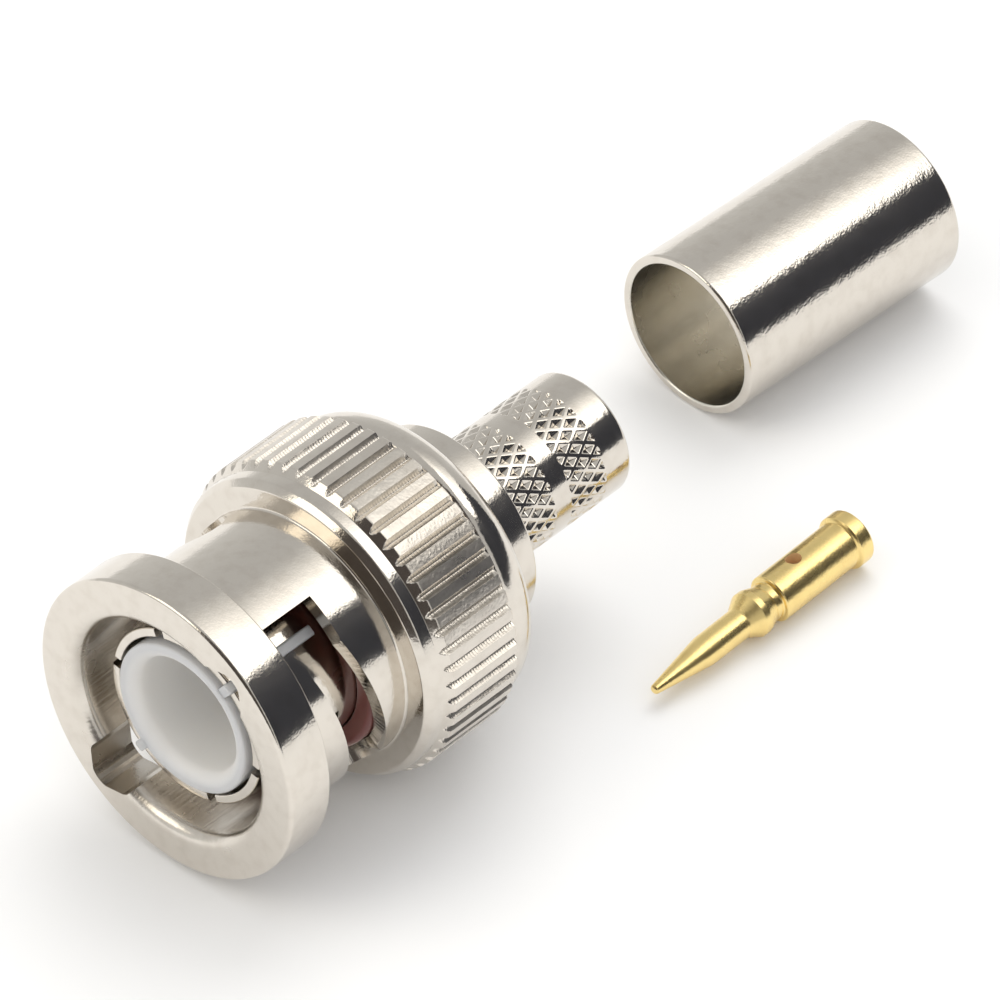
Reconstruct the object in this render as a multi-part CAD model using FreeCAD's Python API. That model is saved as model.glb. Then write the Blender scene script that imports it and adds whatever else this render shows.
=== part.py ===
# Crimp BNC plug kit: the plug with its coupling nut, and beside it the loose
# crimp ferrule and the loose centre pin, as they lie before the cable is fitted.
#
# Frame: the plug's axis is Y and its mating face is the plane y = 0, centred on
# the origin. The cable end points to +Y. +Z is up, and the plug, the ferrule and
# the pin all rest on one level surface. Millimetres throughout.
#
# Angles round the plug's axis are counted from +Z towards +X.
import os
from math import acos, atan, ceil, cos, degrees, pi, radians, sin, tan

import FreeCAD
import Part

V = FreeCAD.Vector
AXIS = V(0, 1, 0)
ORIGIN = V(0, 0, 0)

# Clearances
RUNNING = 0.05  # radial, between the nut or its washer and what they turn on
SEAT_GAP = 0.02  # radial, between fixed round pieces that fit together
FACE_GAP = 0.02  # axial, between stacked faces
SOFT_GAP = 0.07  # radial, round the gasket

# How far a turned round may depart from its true arc
ROUND_TOLERANCE = 0.06

# How far cutting tools reach past the surfaces that they cut
CUT_MARGIN = 0.5

# Coupling nut
NUT_LENGTH = 15.0
FLANGE_R = 6.95
FLANGE_LENGTH = 2.25
FLANGE_ROUND = 0.15
BARREL_R = 5.68
SHOULDER_Y = 8.05
SHOULDER_R = 6.6
GRIP_R = 7.25
GRIP_RISE = 1.1
BEAD_ROOT_R = 6.5
BEAD_RISE = 0.4
BEAD_R = 6.85
BEAD_ROUND = 1.35
BORE_R = 4.97
MOUTH_BEVEL = 0.4
WEB_LENGTH = 1.25
REAR_POCKET_CLEARANCE = 0.2

# Straight knurl on the grip
KNURL_COUNT = 54
KNURL_ANGLE = 4.2
KNURL_REAR_Y = 12.95
KNURL_DEPTH = 0.27
KNURL_GROOVE_WIDTH = 0.5

# Bayonet entry channels and cam slots
CHANNEL_ANGLE = 39.0
CHANNEL_WIDTH = 2.6
CHANNEL_R = 6.05
CHANNEL_LENGTH = 5.75
SLOT_WIDTH = 2.16
SLOT_START_Y = 4.4
SLOT_TURN = 93.0
SLOT_LEAD = 8.5
SLOT_POCKET_R = 1.16
SLOT_SECTIONS = 9
BAYONET_SIDES = 2

# Plug body: slotted outer contact, gasket seat, flange, hub and spigot
CONTACT_FRONT_Y = 1.0
CONTACT_R = 4.15
CONTACT_NECK_R = 4.0
CONTACT_BULGE_LENGTH = 1.1
CONTACT_WALL = 0.25
CONTACT_SLOTS = 6
CONTACT_SLOT_WIDTH = 0.5
CONTACT_SLOT_END_Y = 5.9
COLLAR_FRONT_Y = 6.05
COLLAR_R = 4.5
COLLAR_LENGTH = 0.8
GASKET_INNER_R = 4.15
GASKET_LENGTH = 1.0
BODY_FLANGE_R = 4.85
BODY_FLANGE_LENGTH = 0.6
HUB_R = 4.05
SPIGOT_R = 3.4
SPIGOT_LENGTH = 2.8

# Spring washers and the flat washer that rides with the nut
WASHER_OUTER_R = 4.85
WASHER_THICKNESS = 0.3
WAVE_THICKNESS = 0.2
WAVE_HEIGHT = 0.54
WAVE_COUNT = 3
WAVE_STEPS = 24

# Insulator
INSULATOR_FRONT_Y = 1.1
INSULATOR_WALL = 0.9
INSULATOR_R = 3.5
INSULATOR_BORE_DEPTH = 5.5
INSULATOR_SHOULDER_Y = 9.6
INSULATOR_REAR_R = 2.6
INSULATOR_REAR_Y = 13.2
INSULATOR_FLOOR = 0.5
RIB_CLEARANCE = 0.03
RIB_HEIGHT = 0.55
PIN_HOLE_CLEARANCE = 0.05

# Rear bush: the ring behind the nut and the crimp stem
RING_R = 4.65
RING_REAR_Y = 16.95
RING_BEVEL = 0.1
STEM_R = 2.84
STEM_LENGTH = 7.7
STEM_BORE_R = 1.95
STEM_CHAMFER = 0.1

# Crimp ferrule, loose
FERRULE_R = 3.756
FERRULE_WALL = 0.42
FERRULE_LENGTH = 12.7
FERRULE_BEVEL = 0.1
FERRULE_X = -3.48
FERRULE_Y = 35.06
FERRULE_YAW = 2.65

# Centre pin, loose; stations are measured from its tip
PIN_LENGTH = 12.3
PIN_TIP_R = 0.2
PIN_CONE_LENGTH = 3.08
PIN_SHAFT_R = 0.675
PIN_COLLAR_START = 5.25
PIN_COLLAR_R = 1.04
PIN_COLLAR_CREST = 6.05
PIN_COLLAR_CREST_LENGTH = 0.3
PIN_NECK_R = 0.86
PIN_NECK_Y = 6.75
PIN_BARREL_R = 1.07
PIN_BARREL_Y = 7.15
PIN_RIM_R = 1.24
PIN_RIM_LENGTH = 0.75
PIN_WIRE_BORE_R = 0.45
PIN_WIRE_BORE_DEPTH = 4.0
PIN_HOLE_R = 0.36
PIN_HOLE_Y = 8.82
PIN_HOLE_ANGLE = -10.0
PIN_X = 8.12
PIN_Y = 20.2

# Stations and radii that follow from the sizes above
GROUND_Z = -GRIP_R
COLLAR_REAR_Y = COLLAR_FRONT_Y + COLLAR_LENGTH
BODY_FLANGE_Y = COLLAR_REAR_Y + GASKET_LENGTH + 2 * FACE_GAP
HUB_Y = BODY_FLANGE_Y + BODY_FLANGE_LENGTH
WAVE_FRONT_Y = HUB_Y + FACE_GAP
WAVE_REAR_Y = WAVE_FRONT_Y + WAVE_HEIGHT + FACE_GAP
WASHER_Y = WAVE_REAR_Y + WAVE_HEIGHT + FACE_GAP
WEB_Y = WASHER_Y + WASHER_THICKNESS + FACE_GAP
WEB_REAR_Y = WEB_Y + WEB_LENGTH
RING_FRONT_Y = WEB_REAR_Y + FACE_GAP
SPIGOT_REAR_Y = RING_FRONT_Y + SPIGOT_LENGTH
STEM_REAR_Y = RING_REAR_Y + STEM_LENGTH
WEB_BORE_R = HUB_R + RUNNING
CONTACT_BORE_R = CONTACT_NECK_R - CONTACT_WALL
BODY_BORE_R = INSULATOR_R + SEAT_GAP
BODY_REAR_BORE_R = INSULATOR_REAR_R + SEAT_GAP


def rounded(before, corner, after, radius):
    """Points of a round that replaces a corner, close enough together to stay true to it."""
    back = (before - corner).normalize()
    ahead = (after - corner).normalize()
    half = back.getAngle(ahead) / 2
    centre = corner + (back + ahead).normalize() * (radius / sin(half))
    start = corner + back * (radius / tan(half)) - centre
    sweep = pi - 2 * half
    chords = ceil(sweep / (2 * acos(1 - ROUND_TOLERANCE / radius)))
    side = 1 if back.cross(ahead).z < 0 else -1
    points = []
    for index in range(chords + 1):
        turn = side * sweep * index / chords
        offset = V(start.x * cos(turn) - start.y * sin(turn), start.x * sin(turn) + start.y * cos(turn), 0)
        points.append(centre + offset)
    return points


def turned(corners):
    """Solid of revolution about the plug's axis, from (radius, station, rounding) corners."""
    points = [V(r, y, 0) for r, y, _ in corners]
    wire_points = []
    for index, (_, _, radius) in enumerate(corners):
        if radius:
            after = points[(index + 1) % len(points)]
            wire_points += rounded(points[index - 1], points[index], after, radius)
        else:
            wire_points.append(points[index])
    wire = Part.makePolygon(wire_points + wire_points[:1])
    return Part.Face(wire).revolve(ORIGIN, AXIS, 360)


def rod(radius, start, end):
    """Cylinder on the plug's axis between two stations."""
    return Part.makeCylinder(radius, end - start, V(0, start, 0), AXIS)


def around(shape, angle):
    """Copy of a shape turned about the plug's axis, from +Z towards +X."""
    copy = shape.copy()
    copy.rotate(ORIGIN, AXIS, angle)
    return copy


def on_circle(radius, angle, y):
    """Point at a radius, an angle in degrees from +Z towards +X, and a station."""
    return V(radius * sin(radians(angle)), y, radius * cos(radians(angle)))


def loft(sections, ruled):
    """Solid through closed polygons, given as lists of points."""
    wires = [Part.makePolygon(points + points[:1]) for points in sections]
    return Part.makeLoft(wires, True, ruled)


def faceted(polygons):
    """Solid bounded by flat polygons, each given as its corner points."""
    return Part.makeSolid(Part.makeShell([Part.Face(Part.makePolygon([*points, points[0]])) for points in polygons]))


def tube(inner_r, outer_r, start, end):
    """Plain square-edged ring or tube on the plug's axis."""
    return rod(outer_r, start, end).cut(rod(inner_r, start, end))


# Coupling nut

def nut_blank():
    """Turned nut before knurling and milling, bored from both ends to its web."""
    pocket_r = RING_R + REAR_POCKET_CLEARANCE
    return turned([
        (BORE_R + MOUTH_BEVEL, 0, 0),
        (FLANGE_R, 0, FLANGE_ROUND),
        (FLANGE_R, FLANGE_LENGTH, 0),
        (BARREL_R, FLANGE_LENGTH, 0),
        (BARREL_R, SHOULDER_Y, 0),
        (SHOULDER_R, SHOULDER_Y, 0),
        (GRIP_R, SHOULDER_Y + GRIP_RISE, 0),
        (GRIP_R, KNURL_REAR_Y, 0),
        (BEAD_ROOT_R, KNURL_REAR_Y, 0),
        (BEAD_R, KNURL_REAR_Y + BEAD_RISE, 0),
        (BEAD_R, NUT_LENGTH, BEAD_ROUND),
        (pocket_r, NUT_LENGTH, 0),
        (pocket_r, WEB_REAR_Y, 0),
        (WEB_BORE_R, WEB_REAR_Y, 0),
        (WEB_BORE_R, WEB_Y, 0),
        (BORE_R, WEB_Y, 0),
        (BORE_R, MOUTH_BEVEL, 0),
    ])


def knurl_cutter():
    """V-shaped groove tool at the top of the grip, which runs out through both of its ends."""
    floor_r = GRIP_R - KNURL_DEPTH
    height = 2 * KNURL_DEPTH
    half = KNURL_GROOVE_WIDTH
    left, right, bottom = [
        (V(x, SHOULDER_Y, floor_r + rise), V(x, KNURL_REAR_Y + BEAD_RISE, floor_r + rise))
        for x, rise in ((-half, height), (half, height), (0, 0))
    ]
    return faceted([
        (left[0], bottom[0], right[0]),
        (left[1], bottom[1], right[1]),
        (*left, *reversed(bottom)),
        (*right, *reversed(bottom)),
        (*left, *reversed(right)),
    ])


def knurl_cutters():
    """All groove tools round the grip."""
    tool = knurl_cutter()
    pitch = 360 / KNURL_COUNT
    return Part.makeCompound([around(tool, KNURL_ANGLE + index * pitch) for index in range(KNURL_COUNT)])


def channel_cutter():
    """Both straight entry channels in one tool that spans the bore."""
    slab = Part.makeBox(CHANNEL_WIDTH, CHANNEL_LENGTH + CUT_MARGIN, 2 * CHANNEL_R)
    slab.translate(V(-CHANNEL_WIDTH / 2, -CUT_MARGIN, -CHANNEL_R))
    slab = slab.common(rod(CHANNEL_R, -CUT_MARGIN, CHANNEL_LENGTH))
    return around(slab, CHANNEL_ANGLE)


def slot_centre_y(turn):
    """Station of the cam slot's middle line after a turn from the entry channel."""
    return SLOT_START_Y + SLOT_LEAD * turn / 360


def slot_cutter():
    """One helical cam slot through the barrel wall, with its rounded end pocket."""
    inside_r = BORE_R - CUT_MARGIN
    outside_r = BARREL_R + CUT_MARGIN
    sections = []
    for index in range(SLOT_SECTIONS):
        turn = SLOT_TURN * index / (SLOT_SECTIONS - 1)
        front = slot_centre_y(turn) - SLOT_WIDTH / 2
        rear = slot_centre_y(turn) + SLOT_WIDTH / 2
        sections.append([
            on_circle(inside_r, turn, front),
            on_circle(outside_r, turn, front),
            on_circle(outside_r, turn, rear),
            on_circle(inside_r, turn, rear),
        ])
    helix = loft(sections, False)
    pocket = Part.makeCylinder(
        SLOT_POCKET_R,
        outside_r - inside_r,
        on_circle(inside_r, SLOT_TURN, slot_centre_y(SLOT_TURN)),
        on_circle(1, SLOT_TURN, 0),
    )
    return around(helix.fuse(pocket), CHANNEL_ANGLE)


def coupling_nut():
    nut = nut_blank().cut(knurl_cutters())
    nut = nut.cut(channel_cutter())
    slot = slot_cutter()
    for side in range(BAYONET_SIDES):
        nut = nut.cut(around(slot, 360 / BAYONET_SIDES * side))
    return nut


# Plug body

def contact_slots():
    """Radial slots that part the outer contact into spring fingers."""
    slots = []
    for index in range(CONTACT_SLOTS):
        slab = Part.makeBox(CONTACT_SLOT_WIDTH, CONTACT_SLOT_END_Y, COLLAR_R)
        slab.translate(V(-CONTACT_SLOT_WIDTH / 2, 0, 0))
        slots.append(around(slab, CHANNEL_ANGLE + index * 360 / CONTACT_SLOTS))
    return slots


def plug_body():
    """Outer contact, gasket groove, flange, hub for the nut and spigot for the rear bush."""
    body = turned([
        (CONTACT_BORE_R, CONTACT_FRONT_Y, 0),
        (CONTACT_R, CONTACT_FRONT_Y, 0),
        (CONTACT_R, CONTACT_FRONT_Y + CONTACT_BULGE_LENGTH, 0),
        (CONTACT_NECK_R, CONTACT_FRONT_Y + 2 * CONTACT_BULGE_LENGTH, 0),
        (CONTACT_NECK_R, COLLAR_FRONT_Y, 0),
        (COLLAR_R, COLLAR_FRONT_Y, 0),
        (COLLAR_R, COLLAR_REAR_Y, 0),
        (GASKET_INNER_R - SEAT_GAP, COLLAR_REAR_Y, 0),
        (GASKET_INNER_R - SEAT_GAP, BODY_FLANGE_Y, 0),
        (BODY_FLANGE_R, BODY_FLANGE_Y, 0),
        (BODY_FLANGE_R, HUB_Y, 0),
        (HUB_R, HUB_Y, 0),
        (HUB_R, RING_FRONT_Y, 0),
        (SPIGOT_R, RING_FRONT_Y, 0),
        (SPIGOT_R, SPIGOT_REAR_Y, 0),
        (BODY_REAR_BORE_R, SPIGOT_REAR_Y, 0),
        (BODY_REAR_BORE_R, INSULATOR_SHOULDER_Y, 0),
        (BODY_BORE_R, INSULATOR_SHOULDER_Y, 0),
        (BODY_BORE_R, CONTACT_SLOT_END_Y, 0),
        (CONTACT_BORE_R, CONTACT_SLOT_END_Y, 0),
    ])
    return body.cut(Part.makeCompound(contact_slots()))


def insulator():
    """White tube that takes the mating jack, with ribs that key it in the contact's slots."""
    bore_r = INSULATOR_R - INSULATOR_WALL
    floor_y = INSULATOR_FRONT_Y + INSULATOR_BORE_DEPTH
    sleeve = turned([
        (bore_r, INSULATOR_FRONT_Y, 0),
        (INSULATOR_R, INSULATOR_FRONT_Y, 0),
        (INSULATOR_R, INSULATOR_SHOULDER_Y - FACE_GAP, 0),
        (INSULATOR_REAR_R, INSULATOR_SHOULDER_Y - FACE_GAP, 0),
        (INSULATOR_REAR_R, INSULATOR_REAR_Y, 0),
        (PIN_BARREL_R + PIN_HOLE_CLEARANCE, INSULATOR_REAR_Y, 0),
        (PIN_BARREL_R + PIN_HOLE_CLEARANCE, floor_y + INSULATOR_FLOOR, 0),
        (PIN_SHAFT_R + PIN_HOLE_CLEARANCE, floor_y + INSULATOR_FLOOR, 0),
        (PIN_SHAFT_R + PIN_HOLE_CLEARANCE, floor_y, 0),
        (bore_r, floor_y, 0),
    ])
    rib_width = CONTACT_SLOT_WIDTH - 2 * RIB_CLEARANCE
    rib_length = CONTACT_SLOT_END_Y - RIB_CLEARANCE - INSULATOR_FRONT_Y
    root_r = INSULATOR_R - INSULATOR_WALL / 2
    rib = Part.makeBox(rib_width, rib_length, INSULATOR_R + RIB_HEIGHT - root_r)
    rib.translate(V(-rib_width / 2, INSULATOR_FRONT_Y, root_r))
    for side in range(BAYONET_SIDES):
        sleeve = sleeve.fuse(around(rib, CHANNEL_ANGLE + 360 / BAYONET_SIDES * side))
    return sleeve


def gasket():
    """Soft ring in the groove between the collar and the body's flange."""
    start = COLLAR_REAR_Y + FACE_GAP
    return tube(GASKET_INNER_R, BORE_R - SOFT_GAP, start, start + GASKET_LENGTH)


# Washers between the body's flange and the nut's web

def wave_washer(start, phase):
    """Spring washer bent in even waves, its envelope starting at a station."""
    inner_r = HUB_R + RUNNING
    rise = (WAVE_HEIGHT - WAVE_THICKNESS) / 2

    def section(index):
        """Corners of the strip at one step: inner and outer front, then inner and outer rear."""
        angle = 360 * index / WAVE_STEPS
        front = start + rise * (1 + sin(WAVE_COUNT * radians(angle) + phase))
        return [on_circle(r, angle, y) for y in (front, front + WAVE_THICKNESS) for r in (inner_r, WASHER_OUTER_R)]

    triangles = []
    for index in range(WAVE_STEPS):
        in_front, out_front, in_rear, out_rear = section(index)
        next_in_front, next_out_front, next_in_rear, next_out_rear = section(index + 1)
        for a, b, next_a, next_b in (
            (in_front, out_front, next_in_front, next_out_front),
            (out_rear, in_rear, next_out_rear, next_in_rear),
            (out_front, out_rear, next_out_front, next_out_rear),
            (in_rear, in_front, next_in_rear, next_in_front),
        ):
            triangles += [(a, b, next_a), (b, next_b, next_a)]
    return faceted(triangles)


def slip_washer():
    """Flat washer between the springs and the nut's web; it slides with the nut."""
    return tube(HUB_R + RUNNING, WASHER_OUTER_R, WASHER_Y, WASHER_Y + WASHER_THICKNESS)


# Rear bush

def rear_bush():
    """Ring that keeps the nut on, pressed on the spigot, and the hollow crimp stem."""
    socket_r = SPIGOT_R + SEAT_GAP
    socket_y = SPIGOT_REAR_Y + FACE_GAP
    return turned([
        (socket_r, RING_FRONT_Y, 0),
        (RING_R, RING_FRONT_Y, 0),
        (RING_R, RING_REAR_Y - RING_BEVEL, 0),
        (RING_R - RING_BEVEL, RING_REAR_Y, 0),
        (STEM_R, RING_REAR_Y, 0),
        (STEM_R, STEM_REAR_Y - STEM_CHAMFER, 0),
        (STEM_R - STEM_CHAMFER, STEM_REAR_Y, 0),
        (STEM_BORE_R, STEM_REAR_Y, 0),
        (STEM_BORE_R, socket_y, 0),
        (socket_r, socket_y, 0),
    ])


# Loose pieces

def crimp_ferrule():
    """Drawn tube with its outer edges broken, lying on its side."""
    ferrule = turned([
        (FERRULE_R - FERRULE_WALL, 0, 0),
        (FERRULE_R - FERRULE_BEVEL, 0, 0),
        (FERRULE_R, FERRULE_BEVEL, 0),
        (FERRULE_R, FERRULE_LENGTH - FERRULE_BEVEL, 0),
        (FERRULE_R - FERRULE_BEVEL, FERRULE_LENGTH, 0),
        (FERRULE_R - FERRULE_WALL, FERRULE_LENGTH, 0),
    ])
    ferrule.rotate(ORIGIN, V(0, 0, 1), -FERRULE_YAW)
    ferrule.translate(V(FERRULE_X, FERRULE_Y, GROUND_Z + FERRULE_R))
    return ferrule


def centre_pin():
    """Turned contact pin with a wire bore and an inspection hole, lying on collar and rim."""
    rim_y = PIN_LENGTH - PIN_RIM_LENGTH
    pin = turned([
        (0, 0, 0),
        (PIN_TIP_R, 0, 0),
        (PIN_SHAFT_R, PIN_CONE_LENGTH, 0),
        (PIN_SHAFT_R, PIN_COLLAR_START, 0),
        (PIN_COLLAR_R, PIN_COLLAR_CREST - PIN_COLLAR_CREST_LENGTH / 2, 0),
        (PIN_COLLAR_R, PIN_COLLAR_CREST + PIN_COLLAR_CREST_LENGTH / 2, 0),
        (PIN_NECK_R, PIN_NECK_Y, 0),
        (PIN_BARREL_R, PIN_BARREL_Y, 0),
        (PIN_BARREL_R, rim_y, 0),
        (PIN_RIM_R, rim_y, 0),
        (PIN_RIM_R, PIN_LENGTH, 0),
        (PIN_WIRE_BORE_R, PIN_LENGTH, 0),
        (PIN_WIRE_BORE_R, PIN_LENGTH - PIN_WIRE_BORE_DEPTH, 0),
        (0, PIN_LENGTH - PIN_WIRE_BORE_DEPTH, 0),
    ])
    hole = Part.makeCylinder(PIN_HOLE_R, PIN_RIM_R, V(0, PIN_HOLE_Y, 0), V(0, 0, 1))
    pin = pin.cut(around(hole, PIN_HOLE_ANGLE))
    crest_y = PIN_COLLAR_CREST - PIN_COLLAR_CREST_LENGTH / 2
    tilt = atan((PIN_RIM_R - PIN_COLLAR_R) / (rim_y - crest_y))
    pin.rotate(ORIGIN, V(1, 0, 0), degrees(tilt))
    height = PIN_RIM_R * cos(tilt) - rim_y * sin(tilt)
    pin.translate(V(PIN_X, PIN_Y, GROUND_Z + height))
    return pin


PARTS = {
    "coupling_nut": coupling_nut,
    "plug_body": plug_body,
    "insulator": insulator,
    "gasket": gasket,
    "wave_washer_front": lambda: wave_washer(WAVE_FRONT_Y, 0),
    "wave_washer_rear": lambda: wave_washer(WAVE_REAR_Y, pi),
    "slip_washer": slip_washer,
    "rear_bush": rear_bush,
    "crimp_ferrule": crimp_ferrule,
    "centre_pin": centre_pin,
}

os.makedirs("parts", exist_ok=True)
for name, build in PARTS.items():
    shape = build()
    shape.exportStep("parts/" + name + ".step")
    box = shape.BoundBox
    print(name, "solids", len(shape.Solids), "valid", shape.isValid(), "volume", round(shape.Volume, 3),
          "y", round(box.YMin, 2), round(box.YMax, 2), "z", round(box.ZMin, 2), round(box.ZMax, 2))
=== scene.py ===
from math import atan, ceil, cos, degrees, pi, radians, sin, sqrt, tan

import bmesh
import bpy
import numpy as np
from mathutils import Matrix, Vector


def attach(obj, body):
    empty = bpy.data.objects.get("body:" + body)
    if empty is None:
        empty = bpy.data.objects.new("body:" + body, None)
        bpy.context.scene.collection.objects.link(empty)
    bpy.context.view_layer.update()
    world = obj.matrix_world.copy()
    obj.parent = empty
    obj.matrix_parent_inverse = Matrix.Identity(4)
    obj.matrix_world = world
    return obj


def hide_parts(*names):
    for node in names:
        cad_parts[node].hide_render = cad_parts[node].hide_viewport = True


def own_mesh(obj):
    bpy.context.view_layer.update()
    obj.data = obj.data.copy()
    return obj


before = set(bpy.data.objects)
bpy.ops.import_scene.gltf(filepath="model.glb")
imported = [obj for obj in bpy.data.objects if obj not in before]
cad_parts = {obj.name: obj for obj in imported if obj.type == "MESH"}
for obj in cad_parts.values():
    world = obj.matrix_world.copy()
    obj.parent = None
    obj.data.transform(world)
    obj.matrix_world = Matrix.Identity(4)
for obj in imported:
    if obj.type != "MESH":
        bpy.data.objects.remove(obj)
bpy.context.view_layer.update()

MM = 0.001
GROUND_Z = -7.25

# Coupling nut
NUT_LENGTH = 15.0
FLANGE_R = 6.95
FLANGE_LENGTH = 2.25
BARREL_R = 5.68
SHOULDER_Y = 8.05
SHOULDER_R = 6.64
RIM_R = 6.9
RIM_Y = 8.36
RIM_REAR_R = 6.95
RIM_REAR_Y = 8.88
GRIP_R = 7.25
GRIP_Y = 9.27
BEAD_ROOT_R = 6.5
BEAD_R = 6.85
BORE_R = 4.97
WEB_Y = 9.95
WEB_REAR_Y = 11.2
WEB_BORE_R = 4.1
POCKET_R = 4.85
KNURL_COUNT = 54
KNURL_ANGLE = 4.2
KNURL_REAR_Y = 12.95
KNURL_DEPTH = 0.25
KNURL_HALF_WIDTH = 0.28
KNURL_EDGE = 0.07
KNURL_BLUNT = 0.018  # how much the bottom of a groove is blunted
KNURL_BLUNT_CURVE = 6
KNURL_CHATTER = 0.008
KNURL_CHATTER_RATE = 44  # radians along each millimetre of a groove
CHANNEL_ANGLE = 37.7
CHANNEL_SHAPE = ((1.22, 0), (1.22, 5.3), (1.1, 5.52), (0.5, 6.15), (0.42, 6.2))  # half the section
CHANNEL_ROUND = 0.12
CHANNEL_CROWN_R = 6.33
CHANNEL_CROWN_FALL = 0.55
CHANNEL_LENGTH = 5.75
SLOT_ANGLE = 39.0
SLOT_WIDTH = 2.16
SLOT_START_Y = 4.4
SLOT_TURN = 93.0
SLOT_LEAD = 8.5
SLOT_POCKET_R = 1.16
CUT_INSIDE_R = 4.2
CUT_OUTSIDE_R = 6.4

# Plug body
CONTACT_BORE_R = 3.66
CONTACT_R = 4.08
CONTACT_FRONT_Y = 1.18
CONTACT_WAIST_R = 4.12
CONTACT_WAIST_Y = 2.1
CONTACT_SLITS = 6
CONTACT_SLIT_WIDTH = 0.5
CONTACT_SLIT_Y = 5.9
NECK_R = 4.0
NECK_Y = 3.2
BODY_FLANGE_R = 4.85
BODY_FLANGE_Y = 7.89
BODY_FLANGE_REAR_Y = 8.49
HUB_R = 4.05
HUB_REAR_Y = 11.22
SPIGOT_R = 3.4
SPIGOT_REAR_Y = 14.02
SPIGOT_BORE_R = 2.62
INSULATOR_SEAT_R = 3.52
INSULATOR_SEAT_Y = 9.6

# Insulator, its ribs and the gasket
INSULATOR_R = 3.48
INSULATOR_FRONT_Y = 0.95
INSULATOR_REAR_R = 3.5
INSULATOR_SHOULDER_Y = 9.58
SOCKET_MOUTH_R = 2.68
SOCKET_R = 2.6
SOCKET_Y = 6.6
PIN_SEAT_R = 1.12
PIN_SEAT_Y = 7.1
PIN_HOLE_R = 0.725
TAIL_REAR_Y = 13.2
RIB_ANGLE = 39.0
RIB_FRONT_Y = 0.99
RIB_REAR_Y = 5.87
RIB_SECTION = ((-0.23, 3.2), (0.23, 3.2), (0.23, 4.02), (0.16, 4.09), (-0.16, 4.09), (-0.23, 4.02))
GASKET_BORE_R = 4.02
GASKET_R = 4.9
GASKET_Y = 6.87
GASKET_REAR_Y = 7.87

# Rear bush
BUSH_R = 4.65
BUSH_REAR_Y = 16.95
BUSH_SEAT_R = 3.42
BUSH_SEAT_Y = 14.04
STEM_R = 2.84
STEM_REAR_Y = 24.65
STEM_BORE_R = 1.95
DIAMOND_COUNT = 27
DIAMOND_BANDS = ((18.0, 20.1), (21.02, 23.12))
DIAMOND_PITCH = 1.05
DIAMOND_DEPTH = 0.17
DIAMOND_RIDGE = 0.26  # share of a pit's half width that stays on the ridges
DIAMOND_FADE = 0.1

# Loose pieces
FERRULE_R = 3.756
FERRULE_WALL = 0.42
FERRULE_LENGTH = 12.7
FERRULE_X = -3.48
FERRULE_Y = 35.06
FERRULE_YAW = 2.65
PIN_X = 8.12
PIN_Y = 20.2
PIN_LENGTH = 12.3
PIN_TIP_R = 0.2
PIN_SHAFT_R = 0.675
PIN_NECK_R = 0.86
PIN_BARREL_R = 1.07
PIN_BORE_R = 0.45
PIN_BORE_Y = 8.3
SIGHT_HOLE_R = 0.36
SIGHT_HOLE_Y = 8.82
SIGHT_HOLE_TURN = -10
NEAR_AXIS = 0.004  # closes a turned profile without a point on the axis
PIN_RIM_R = 1.24
PIN_RIM_Y = 11.55
PIN_COLLAR_R = 1.04
PIN_CREST_Y = 5.9
PIN_TILT = atan((PIN_RIM_R - PIN_COLLAR_R) / (PIN_RIM_Y - PIN_CREST_Y))
PIN_HEIGHT = PIN_RIM_R * cos(PIN_TILT) - PIN_RIM_Y * sin(PIN_TILT)

SHARP_ANGLE = 32.0


def corner_points(before, corner, after, radius, step=9.0):
    """Points of a round that replaces a profile corner."""
    before, corner, after = (np.array(p, float) for p in (before, corner, after))
    back = (before - corner) / np.linalg.norm(before - corner)
    ahead = (after - corner) / np.linalg.norm(after - corner)
    half = np.arccos(np.clip(back @ ahead, -1, 1)) / 2
    centre = corner + (back + ahead) / np.linalg.norm(back + ahead) * radius / sin(half)
    start = corner + back * radius / tan(half) - centre
    sweep = pi - 2 * half
    count = max(2, ceil(degrees(sweep) / step))
    side = 1 if back[0] * ahead[1] - back[1] * ahead[0] < 0 else -1
    points = []
    for index in range(count + 1):
        turn = side * sweep * index / count
        c, s = cos(turn), sin(turn)
        points.append(centre + (start[0] * c - start[1] * s, start[0] * s + start[1] * c))
    return points


def outline(corners):
    """Closed profile from (radius, station, rounding) corners, as an array of points."""
    points = []
    for index, (r, y, radius) in enumerate(corners):
        before, after = corners[index - 1][:2], corners[(index + 1) % len(corners)][:2]
        points += corner_points(before, (r, y), after, radius) if radius else [np.array((r, y), float)]
    return np.array(points)


def refined(points, spacing):
    """Profile with its segments halved until no step is longer than the spacing there."""
    def split(a, b):
        middle = (a + b) / 2
        if np.linalg.norm(b - a) <= min(spacing(a), spacing(middle), spacing(b)):
            return [a]
        return split(a, middle) + split(middle, b)

    return np.array([point for here, after in zip(points, np.roll(points, -1, 0))
                     for point in split(here, after)])


def even_columns(count):
    return np.arange(count) * 2 * pi / count


def smooth(mesh):
    """Smooth shading apart from the sharp edges."""
    mesh.polygons.foreach_set("use_smooth", [True] * len(mesh.polygons))
    mesh.set_sharp_from_angle(angle=radians(SHARP_ANGLE))


def mesh_object(name, vertices, faces):
    """Object from millimetre vertices."""
    mesh = bpy.data.meshes.new(name)
    mesh.from_pydata((np.asarray(vertices) * MM).tolist(), [], faces)
    mesh.validate()
    smooth(mesh)
    obj = bpy.data.objects.new(name, mesh)
    bpy.context.scene.collection.objects.link(obj)
    return obj


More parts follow.
